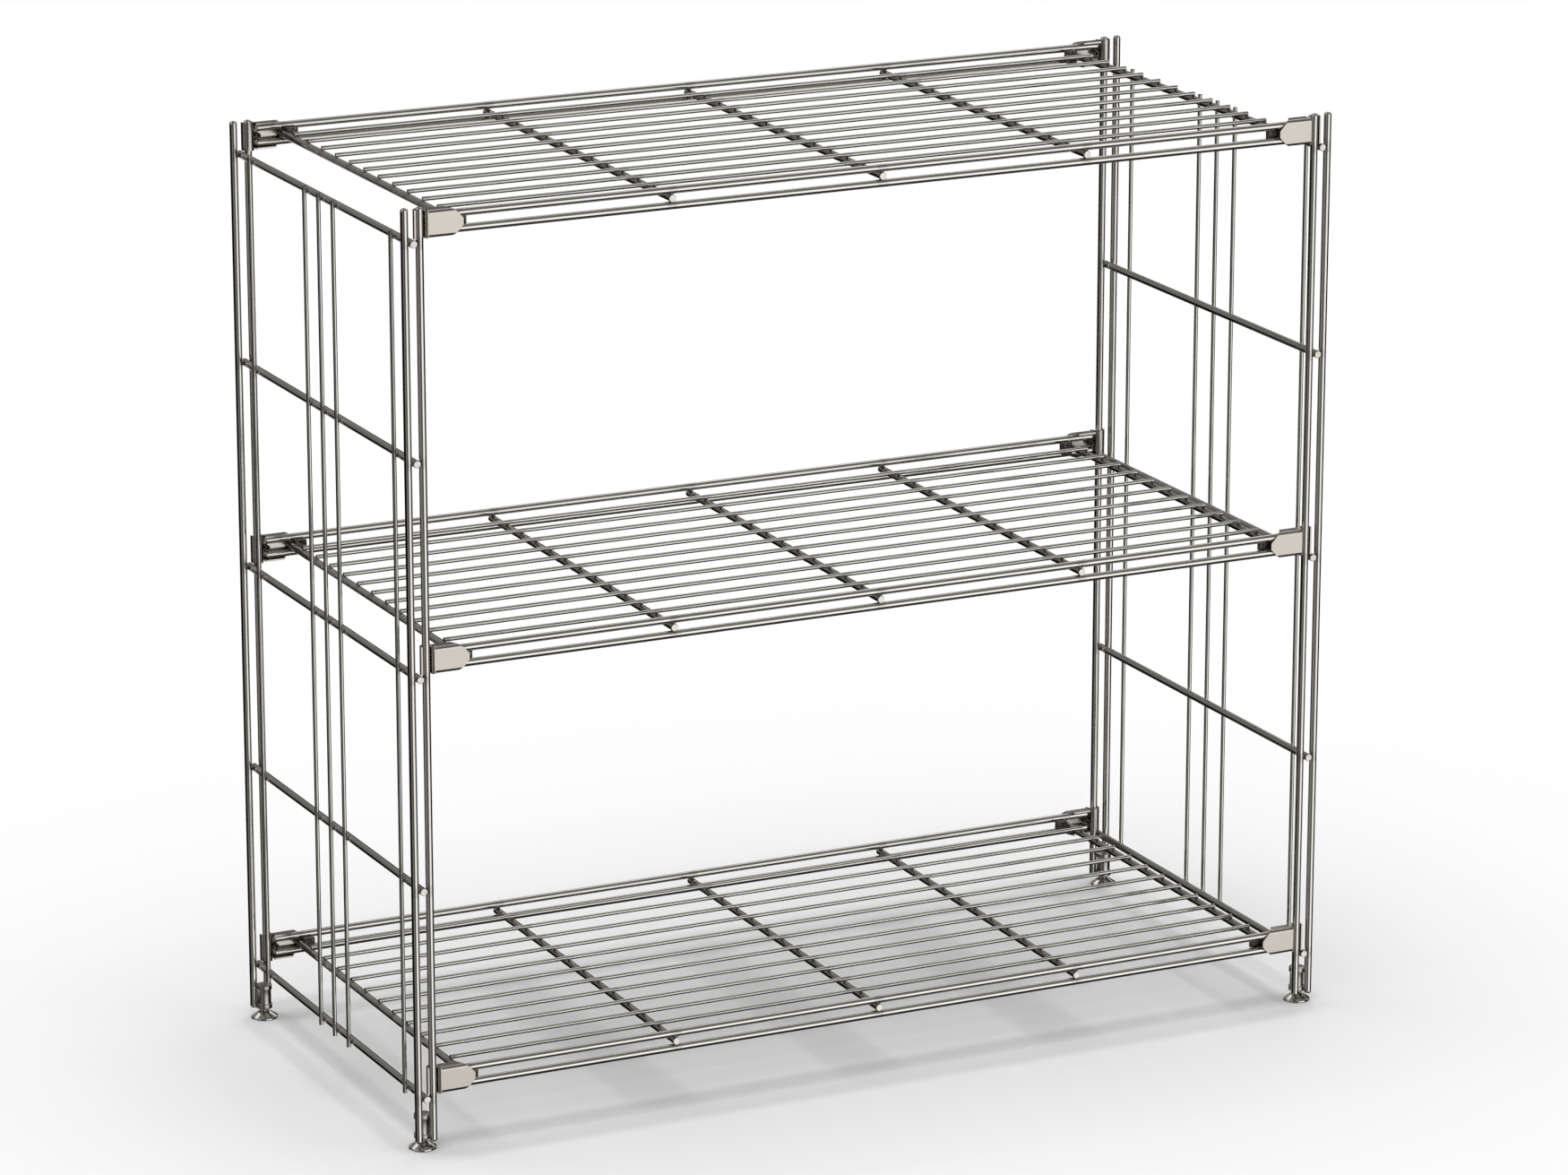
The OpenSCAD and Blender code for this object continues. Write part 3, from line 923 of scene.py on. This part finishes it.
class RACK_OT_stage(bpy.types.Operator):
    """Lay the pale floor and set the even light and the panels that the steel reflects"""

    bl_idname = "rack.stage"
    bl_label = "Studio"

    def execute(self, context):
        look = context.scene.rack_studio
        scene = context.scene
        scene.view_settings.view_transform = "Standard"
        scene.world = even_world(look)
        scene.collection.objects.link(soft_box(look))

        side = look.floor_size / 2
        corners = [(-side, -side, 0), (side, -side, 0), (side, side, 0), (-side, side, 0)]
        floor = backdrop("floor", corners, [(0, 1, 2, 3)], floor_paper(look))
        floor.visible_glossy = False

        v = np.radians(np.linspace(-90, 90, 41)[1:-1])
        arc = look.shell_radius * np.stack([np.cos(v), np.sin(v)], -1)
        points, blocks = turned(arc, columns=64)
        faces = [face for block in blocks for face in block.tolist()]
        shell = backdrop("studio_shell", points.tolist(), faces, studio_panels(look))
        shell.data.shade_smooth()
        shell.visible_camera = False
        shell.visible_diffuse = False
        shell.visible_transmission = False
        shell.visible_shadow = False
        return {"FINISHED"}


class RACK_PT_panel(bpy.types.Panel):
    """Lists the steps and their settings"""

    bl_idname = "RACK_PT_panel"
    bl_label = "Cooling rack"
    bl_space_type = "VIEW_3D"
    bl_region_type = "UI"
    bl_category = "Rack"

    def draw(self, context):
        layout = self.layout
        for group in ("rack_sizes", "rack_steel", "rack_studio"):
            box = layout.box()
            settings = getattr(context.scene, group)
            for name in settings.__annotations__:
                box.prop(settings, name)
        for step in STEPS:
            layout.operator(step.bl_idname)


GROUPS = {"rack_sizes": RackSizes, "rack_steel": SteelLook, "rack_studio": StudioLook}
STEPS = (RACK_OT_camera, RACK_OT_stage, RACK_OT_posts, RACK_OT_crossbars, RACK_OT_shelf_bars,
         RACK_OT_brackets, RACK_OT_corner_pieces, RACK_OT_feet, RACK_OT_frame_welds,
         RACK_OT_shelf_welds)


def register():
    for made in (*GROUPS.values(), *STEPS, RACK_PT_panel):
        bpy.utils.register_class(made)
    for name, group in GROUPS.items():
        setattr(bpy.types.Scene, name, bpy.props.PointerProperty(type=group))


def unregister():
    for name in GROUPS:
        delattr(bpy.types.Scene, name)
    for made in (RACK_PT_panel, *reversed(STEPS), *reversed(tuple(GROUPS.values()))):
        bpy.utils.unregister_class(made)


def main():
    register()
    for step in STEPS:
        group, name = step.bl_idname.split(".")
        getattr(getattr(bpy.ops, group), name)()


if __name__ == "__main__":
    main()
